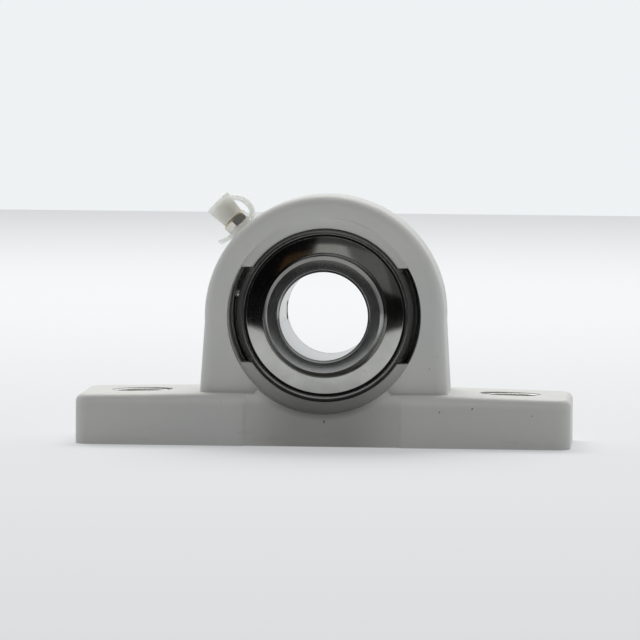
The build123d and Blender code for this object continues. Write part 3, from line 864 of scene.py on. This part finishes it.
rivet_tree = bpy.data.node_groups.new("cage_rivet_ring", "GeometryNodeTree")
rivet_sizes = {
    "Rivet count": ("NodeSocketInt", ball_count),
    "Circle radius": ("NodeSocketFloat", race_circle * mm),
    "Shank radius": ("NodeSocketFloat", 0.49 * mm),
    "Shank length": ("NodeSocketFloat", 1.4 * mm),
    "Head radius": ("NodeSocketFloat", 0.9 * mm),
    "Head height": ("NodeSocketFloat", 0.5 * mm),
}
rivet_ids = {
    name: tree_input(rivet_tree, name, kind, value) for name, (kind, value) in rivet_sizes.items()
}
rivet_ids["Finish"] = tree_input(rivet_tree, "Finish", "NodeSocketMaterial")
rivet_tree.interface.new_socket(name="Geometry", in_out="OUTPUT", socket_type="NodeSocketGeometry")
rivet_inputs = rivet_tree.nodes.new("NodeGroupInput")
rivet_output = rivet_tree.nodes.new("NodeGroupOutput")
rivet = {name: Wire(rivet_inputs.outputs[name]) for name in rivet_ids}
shank = rivet["Shank radius"].node(
    "GeometryNodeMeshCylinder",
    None,
    {"Vertices": 32, "Radius": rivet["Shank radius"], "Depth": rivet["Shank length"]},
)
dome = rivet["Head radius"].node(
    "GeometryNodeMeshUVSphere", None, {"Segments": 32, "Rings": 16, "Radius": 1.0}
)
dome_size = dome.node(
    "ShaderNodeCombineXYZ",
    None,
    {0: rivet["Head radius"], 1: rivet["Head radius"], 2: rivet["Head height"]},
)
rivet_shape = shank.node("GeometryNodeJoinGeometry")
rivet_join = rivet_shape.socket.node
rivet_tree.links.new(shank.socket, rivet_join.inputs[0])
for end in (-0.5, 0.5):
    head_place = dome.node("ShaderNodeCombineXYZ", None, {2: rivet["Shank length"] * end})
    head = dome.node(
        "GeometryNodeTransform", None, {"Geometry": dome, "Translation": head_place, "Scale": dome_size}
    )
    rivet_tree.links.new(head.socket, rivet_join.inputs[0])
rivet_circle = shank.node(
    "GeometryNodeMeshCircle", None, {"Vertices": rivet["Rivet count"], "Radius": rivet["Circle radius"]}
)
rivet_ring = rivet_circle.node(
    "GeometryNodeInstanceOnPoints", None, {"Points": rivet_circle, "Instance": rivet_shape}
)
rivet_ring = rivet_ring.node(
    "GeometryNodeTransform",
    None,
    {
        "Geometry": rivet_ring,
        "Rotation": (radians(90), 0, 0),
        "Translation": tuple(bore_centre),
    },
)
rivet_real = rivet_ring.node("GeometryNodeRealizeInstances", None, {"Geometry": rivet_ring})
rivet_done = rivet_real.node(
    "GeometryNodeSetMaterial", None, {"Geometry": rivet_real, "Material": rivet["Finish"]}
)
rivet_tree.links.new(rivet_done.socket, rivet_output.inputs["Geometry"])
rivets = from_tree("cage_rivet_heads", rivet_tree, {rivet_ids["Finish"]: cage_steel})
first_rivet = radians(90 + ball_spacing / 2)
about_shaft = Matrix.Translation(bore_centre) @ Matrix.Rotation(-first_rivet, 4, "Y")
rivets.data.transform(about_shaft @ Matrix.Translation(-bore_centre))
finished(rivets, cage_steel, "cage", "cage_steel", "cage_rivets")


# ---------------------------------------------------------------------------------------------
# Seals: a black nitrile rubber lip on a thin steel washer, snapped into the outer ring's groove
# on each side, so that only a matt black line shows round the flinger.
# ---------------------------------------------------------------------------------------------
rubber, rubber_shader, place = new_material("nitrile_rubber", Metallic=0.0)
rubber_shader.inputs["Specular IOR Level"].default_value = 0.3
dust = place.noise(900.0, 3.0, 0.65)
drive(
    rubber_shader,
    "Base Color",
    dust.between(0.5, 0.9).blended((0.010, 0.010, 0.011, 1.0), (0.035, 0.034, 0.032, 1.0)),
)
drive(rubber_shader, "Roughness", 0.5 + dust * 0.25)
bump(rubber_shader, dust, 0.01 * mm, 0.8)

core_steel, core_shader, place = new_material("seal_washer_steel", Metallic=1.0)
rolled_lines = place.noise(2400.0, 2.0, 0.6, stretch=(1.0, 1.0, 0.1))
drive(core_shader, "Base Color", rolled_lines.blended((0.42, 0.42, 0.43, 1.0), (0.52, 0.52, 0.53, 1.0)))
drive(core_shader, "Roughness", 0.3 + rolled_lines * 0.15)
bump(core_shader, rolled_lines, 0.004 * mm, 0.6)

lip_gap = 0.1
seal_snap, seal_mouth = 23.31, 22.91
seal_outer, seal_inner = 7.52, 6.64
snap_outer, snap_inner = 7.56, 6.24
lip_outer, lip_inner = 7.32, 6.79
dip, dip_depth = (18.8, 19.2, 20.2, 20.6), 7.3
for side, facing in (("front", -1), ("rear", 1)):
    lip_corners = [
        (inner_radius + lip_gap, facing * lip_outer, 0.08),
        (inner_radius + lip_gap, facing * lip_inner, 0.08),
        (18.0, facing * seal_inner, 0.1),
        (seal_mouth, facing * seal_inner, 0),
        (seal_mouth, facing * snap_inner, 0),
        (seal_snap, facing * snap_inner, 0.1),
        (seal_snap, facing * snap_outer, 0.12),
        (seal_mouth, facing * snap_outer, 0.1),
        (22.15, facing * seal_outer, 0.3),
        (dip[3], facing * seal_outer, 0.2),
        (dip[2], facing * dip_depth, 0.2),
        (dip[1], facing * dip_depth, 0.2),
        (dip[0], facing * seal_outer, 0.2),
        (18.0, facing * seal_outer, 0.2),
    ]
    seal = turned(f"rubber_seal_{side}", rounded_outline(lip_corners), 256, shaft_stance)
    finished(seal, rubber, "outer_ring", "seal_rubber", f"seal_{side}")
    core = softened_copy(f"seal_washer_{side}", f"seal_core_{side}", 0.05 * mm)
    finished(core, core_steel, "outer_ring", "core_steel", f"seal_core_{side}")


# ---------------------------------------------------------------------------------------------
# Flingers: thin discs stamped from polished stainless sheet, pressed on the inner ring by a short
# collar. They turn with the shaft, and their face leans back a little towards the rim.
# ---------------------------------------------------------------------------------------------
flinger_steel, flinger_shader, place = new_material("polished_flinger_steel", Metallic=1.0)
buffing = round_the_shaft(place).noise(7000.0, 2.0, 0.7, stretch=(1.0, 0.0004, 1.0))
handling = place.noise(160.0, 3.0, 0.6)
pits = place.noise(1100.0, 2.0, 0.5).between(0.69, 0.76)
tone = handling.between(0.3, 0.7).blended((0.44, 0.44, 0.42, 1.0), (0.51, 0.51, 0.49, 1.0))
drive(flinger_shader, "Base Color", (pits * 0.5).blended(tone, (0.20, 0.19, 0.18, 1.0)))
drive(flinger_shader, "Roughness", 0.035 + buffing * 0.05 + handling * 0.05)
bump(flinger_shader, buffing, 0.0012 * mm, 0.7)

flinger_seat, flinger_collar = 17.01, 17.46
flinger_rim_radius = 22.35
flinger_rim, flinger_crest = 8.35, 8.95
sheet_thickness = 0.46
collar_end = flinger_crest - 1.2
for side, facing in (("front", -1), ("rear", 1)):
    disc_corners = [
        (flinger_seat, facing * collar_end, 0.08),
        (flinger_collar, facing * collar_end, 0.08),
        (flinger_collar, facing * (flinger_crest - sheet_thickness), 0.1),
        (flinger_rim_radius, facing * (flinger_rim - sheet_thickness), 0.1),
        (flinger_rim_radius, facing * flinger_rim, 0.2),
        (flinger_collar + 0.25, facing * (flinger_crest - 0.02), 0.45),
        (flinger_seat, facing * (flinger_crest - 0.42), 0.1),
    ]
    disc = turned(f"flinger_disc_{side}", rounded_outline(disc_corners), 288, shaft_stance)
    finished(disc, flinger_steel, "shaft_ring", "flinger_steel", f"flinger_{side}", sharp=60.0)


# ---------------------------------------------------------------------------------------------
# Grease nipple: turned from hexagon brass bar and nickel plated, screwed into the arch. Its head
# has a small mouth that a ball closes from inside, pushed by a coil spring.
# ---------------------------------------------------------------------------------------------
arch_radius = 34.0
nipple_angle = 135.0
nipple_stance = radial_stance(nipple_angle, arch_radius)
hexagon_turn = radians(22)
nipple_hexagon = hexagon(3.5, hexagon_turn)
hex_bottom, hex_top = 1.4, 4.05
head_bottom, head_top = 5.25, 9.65
chamfer_radius, chamfer_slope = 3.15, 1.5
nipple_thread_end = -6.0
nipple_thread_radius, nipple_thread_depth = 2.99, 0.3
neck_radius, head_radius, mouth_hole, channel = 2.1, 3.2, 0.7, 1.2
first_drop = 0.23


def hexagon_end(drop):
    """Hexagon cut by a cone, as a turned chamfer leaves it; drop is the distance below the end."""

    def reach(angle, height):
        return min(nipple_hexagon(angle, height), chamfer_radius + drop * chamfer_slope)

    return reach


def nipple_thread(angle, height):
    wave = abs(2 * ((height - angle / (2 * pi)) % 1.0) - 1)
    return nipple_thread_radius - nipple_thread_depth * min(max((wave - 0.12) / 0.76, 0.0), 1.0)


nipple_outline = [(0.8, nipple_thread_end), (2.4, nipple_thread_end)]
thread_run = [nipple_thread_end + 0.3 + 0.1 * step for step in range(62)]
nipple_outline += [(nipple_thread, height) for height in thread_run]
nipple_outline += [(2.85, 0.3), (nipple_thread_radius, 0.6)]
nipple_outline += [(nipple_thread_radius, hex_bottom), (3.3, hex_bottom)]
drops = (first_drop, 0.3, 0.4, 0.5, 0.6)
nipple_outline += [(hexagon_end(drop), hex_bottom + (drop - first_drop) * 0.6) for drop in drops]
nipple_outline += [(hexagon_end(drop), hex_top - drop) for drop in reversed(drops)]
nipple_outline += [(chamfer_radius, hex_top), (2.35, hex_top), (2.14, hex_top + 0.12)]
nipple_outline += [(neck_radius, hex_top + 0.3), (neck_radius, head_bottom - 0.15)]
nipple_outline += [(2.4, head_bottom), (3.08, head_bottom + 0.42), (head_radius, head_bottom + 0.6)]
nipple_outline += [(head_radius, head_top - 1.72), (3.1, head_top - 1.5), (1.85, head_top - 0.12)]
nipple_outline += [(1.6, head_top), (0.8, head_top), (mouth_hole, head_top - 0.1)]
nipple_outline += [(mouth_hole, 8.95), (channel, 8.94), (channel, 0.0), (0.8, -0.02)]
nipple = turned("grease_nipple", nipple_outline, 144, nipple_stance)

nickel, nickel_shader, place = new_material("nickel_plated_brass", Metallic=1.0)
wear = place.noise(900.0, 3.0, 0.6)
tool_marks = place.noise(4200.0, 2.0, 0.6, stretch=(1.0, 0.15, 1.0))
nipple_start = tuple(nipple_stance.translation)
outwards = Vector((cos(radians(nipple_angle)), 0, sin(radians(nipple_angle))))
from_arch = place.node("ShaderNodeVectorMath", {"operation": "SUBTRACT"}, {0: place, 1: nipple_start})
along_nipple = from_arch.node(
    "ShaderNodeVectorMath", {"operation": "DOT_PRODUCT"}, {0: from_arch, 1: outwards}, 1
)
on_chamfer = along_nipple.between((hex_top - 0.66) * mm, (hex_top - 0.5) * mm)
brassy = (wear.between(0.55, 0.8) + on_chamfer * 0.8).clipped()
drive(nickel_shader, "Base Color", brassy.blended((0.66, 0.64, 0.60, 1.0), (0.50, 0.42, 0.26, 1.0)))
drive(nickel_shader, "Roughness", 0.14 + tool_marks * 0.14)
bump(nickel_shader, tool_marks, 0.005 * mm, 0.7)
finished(nipple, nickel, "housing", "nipple_metal", "nipple_body")

valve_stance = radial_stance(nipple_angle, arch_radius + 8.186)
place_ball("nipple_valve_ball", 1.0, valve_stance, "check_ball", "ball_steel", "nipple_check_ball")

spring_radius, spring_wire = 0.9, 0.15
spring_bottom, spring_top = 0.3, 7.32
spring_turns = 6
coil_steps, wire_steps = 288, 12
hoops = []
for step in range(coil_steps + 1):
    turn = 2 * pi * spring_turns * step / coil_steps
    rise = spring_bottom + (spring_top - spring_bottom) * step / coil_steps
    hoop = []
    for part in range(wire_steps):
        lean = 2 * pi * part / wire_steps
        reach = spring_radius + spring_wire * cos(lean)
        spot = Vector((reach * cos(turn), reach * sin(turn), rise + spring_wire * sin(lean))) * mm
        hoop.append(nipple_stance @ spot)
    hoops.append(hoop)
spring = skinned("nipple_coil", hoops)
spring_steel, spring_shader, place = new_material("drawn_spring_wire", Metallic=1.0)
die_lines = place.noise(6000.0, 2.0, 0.6)
drive(spring_shader, "Base Color", die_lines.blended((0.48, 0.47, 0.46, 1.0), (0.58, 0.57, 0.56, 1.0)))
drive(spring_shader, "Roughness", 0.2 + die_lines * 0.15)
bump(spring_shader, die_lines, 0.002 * mm, 0.6)
finished(spring, spring_steel, "housing", "spring_steel", "nipple_spring")
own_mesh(spring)


# ---------------------------------------------------------------------------------------------
# Cap: a soft, milky polyethylene cap pressed over the nipple's head, with a faint painted glow. A strap
# moulded with it runs round to a flat ring with a pull tab, which the nipple clamps to the arch.
# ---------------------------------------------------------------------------------------------
cap_inner, cap_outer = 3.3, 3.85
cap_mouth, cap_ceiling, cap_end = 4.15, 9.75, 10.6
cap_rim = 0.15
cap_taper = 0.5
cap_corners = [
    (cap_inner - 0.22, cap_mouth, 0.1),
    (cap_outer - cap_taper, cap_mouth, 0.15),
    (cap_outer, cap_end - 1.0, 0.2),
    (cap_outer + cap_rim, cap_end - 0.75, 0.15),
    (cap_outer + cap_rim, cap_end, 0.4),
]
cap_corners += [(0.5, cap_end, 0), (0.5, cap_ceiling, 0), (cap_inner, cap_ceiling, 0.3)]
cap_corners += [(cap_inner, cap_mouth + 1.6, 0.3)]
cap_profile = rounded_outline(cap_corners)
low = cap_profile.index((0.5, cap_ceiling))
cap_profile = [(0, cap_ceiling)] + cap_profile[low + 1 :] + cap_profile[: low - 1] + [(0, cap_end)]
cap = turned("nipple_dust_cap", cap_profile, 128, nipple_stance, joined=False)

cap_plastic, cap_shader, place = new_material(
    "milky_polyethylene",
    IOR=1.45,
    Transmission_Weight=0.6,
    Subsurface_Weight=0.5,
    Subsurface_Scale=0.003,
    Subsurface_Radius=(1.0, 1.0, 1.0),
    # Painted light: a faint white glow on the cap and its strap.
    Emission_Color=(0.97, 0.98, 0.94, 1.0),
    Emission_Strength=0.06,
)
milk = place.noise(500.0, 2.0, 0.5)
drive(cap_shader, "Base Color", milk.blended((0.90, 0.91, 0.88, 1.0), (0.96, 0.965, 0.94, 1.0)))
drive(cap_shader, "Roughness", 0.30 + milk * 0.15)
bump(cap_shader, milk, 0.02 * mm, 0.6)
finished(cap, cap_plastic, "cap", "cap_plastic", "nipple_cap")

strap_seat, strap_thickness = 0.05, 1.3
ring_outer, ring_hole = 4.5, 3.02
tab_reach, tab_half_width = 7.6, 2.0
strap_half_width = 2.2
towards_crown = Vector((sin(radians(nipple_angle)), 0, -cos(radians(nipple_angle))))
crown_turn = atan2(
    towards_crown.dot(nipple_stance.to_3x3() @ Vector((0, 1, 0))),
    towards_crown.dot(nipple_stance.to_3x3() @ Vector((1, 0, 0))),
)


def ring_and_tab(angle, height):
    """Edge of the strap's flat ring, with a round-ended tab on the side away from the crown."""
    away = angle - crown_turn - pi
    along, across = cos(away), abs(sin(away))
    reach = ring_outer
    if along > 0:
        side = tab_half_width / across if across > 1e-6 else 1e6
        if side > ring_outer:
            reach = max(ring_outer, min(side, tab_reach / along))
    return reach


ring_corners = [
    (ring_hole, strap_seat),
    (ring_and_tab, strap_seat),
    (ring_and_tab, strap_seat + strap_thickness),
    (ring_hole, strap_seat + strap_thickness),
]
strap = turned("strap_ring", ring_corners, 180, nipple_stance)

band_path = [(3.4, 0.8), (4.6, 1.0), (5.6, 2.0), (6.1, 3.7)]
band_path += [(5.95, 5.6), (5.3, 7.2), (4.4, 8.4), (3.5, 8.9)]
band_thickness = 1.9
hoops = []
for number, (reach, height) in enumerate(band_path):
    before = Vector(band_path[max(number - 1, 0)])
    after = Vector(band_path[min(number + 1, len(band_path) - 1)])
    heading = (after - before).normalized()
    normal = Vector((heading.y, -heading.x))
    hoop = []
    for out, wide in ((-1, -1), (1, -1), (1, 1), (-1, 1)):
        edge = Vector((reach, height)) + normal * out * band_thickness / 2
        spot = bore_centre + outwards * (arch_radius + edge.y) * mm
        spot += towards_crown * edge.x * mm + Vector((0, wide * strap_half_width * mm, 0))
        hoop.append(spot)
    hoops.append(hoop)
strap_band = skinned("strap_band", hoops)
rounding = strap_band.modifiers.new("round_band", "SUBSURF")
rounding.levels = 3
settle(strap_band)

moulded = bmesh.new()
moulded.from_mesh(strap.data)
moulded.from_mesh(strap_band.data)
moulded.to_mesh(strap.data)
moulded.free()
bpy.data.objects.remove(strap_band)
melting = strap.modifiers.new("moulded_together", "REMESH")
melting.mode = "VOXEL"
melting.voxel_size = 0.14 * mm
easing = strap.modifiers.new("eased_corners", "SMOOTH")
easing.factor = 0.5
easing.iterations = 3
settle(strap)
strap.name = "cap_strap_moulding"
tab_root, tab_lift = 4.3 * mm, 0.33
for vertex in strap.data.vertices:
    beyond = -towards_crown.dot(vertex.co - nipple_stance.translation) - tab_root
    if beyond > 0:
        vertex.co += outwards * beyond * tab_lift
strap.data.materials.append(cap_plastic)
strap.data.shade_smooth()
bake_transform(strap)
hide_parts("cap_strap")
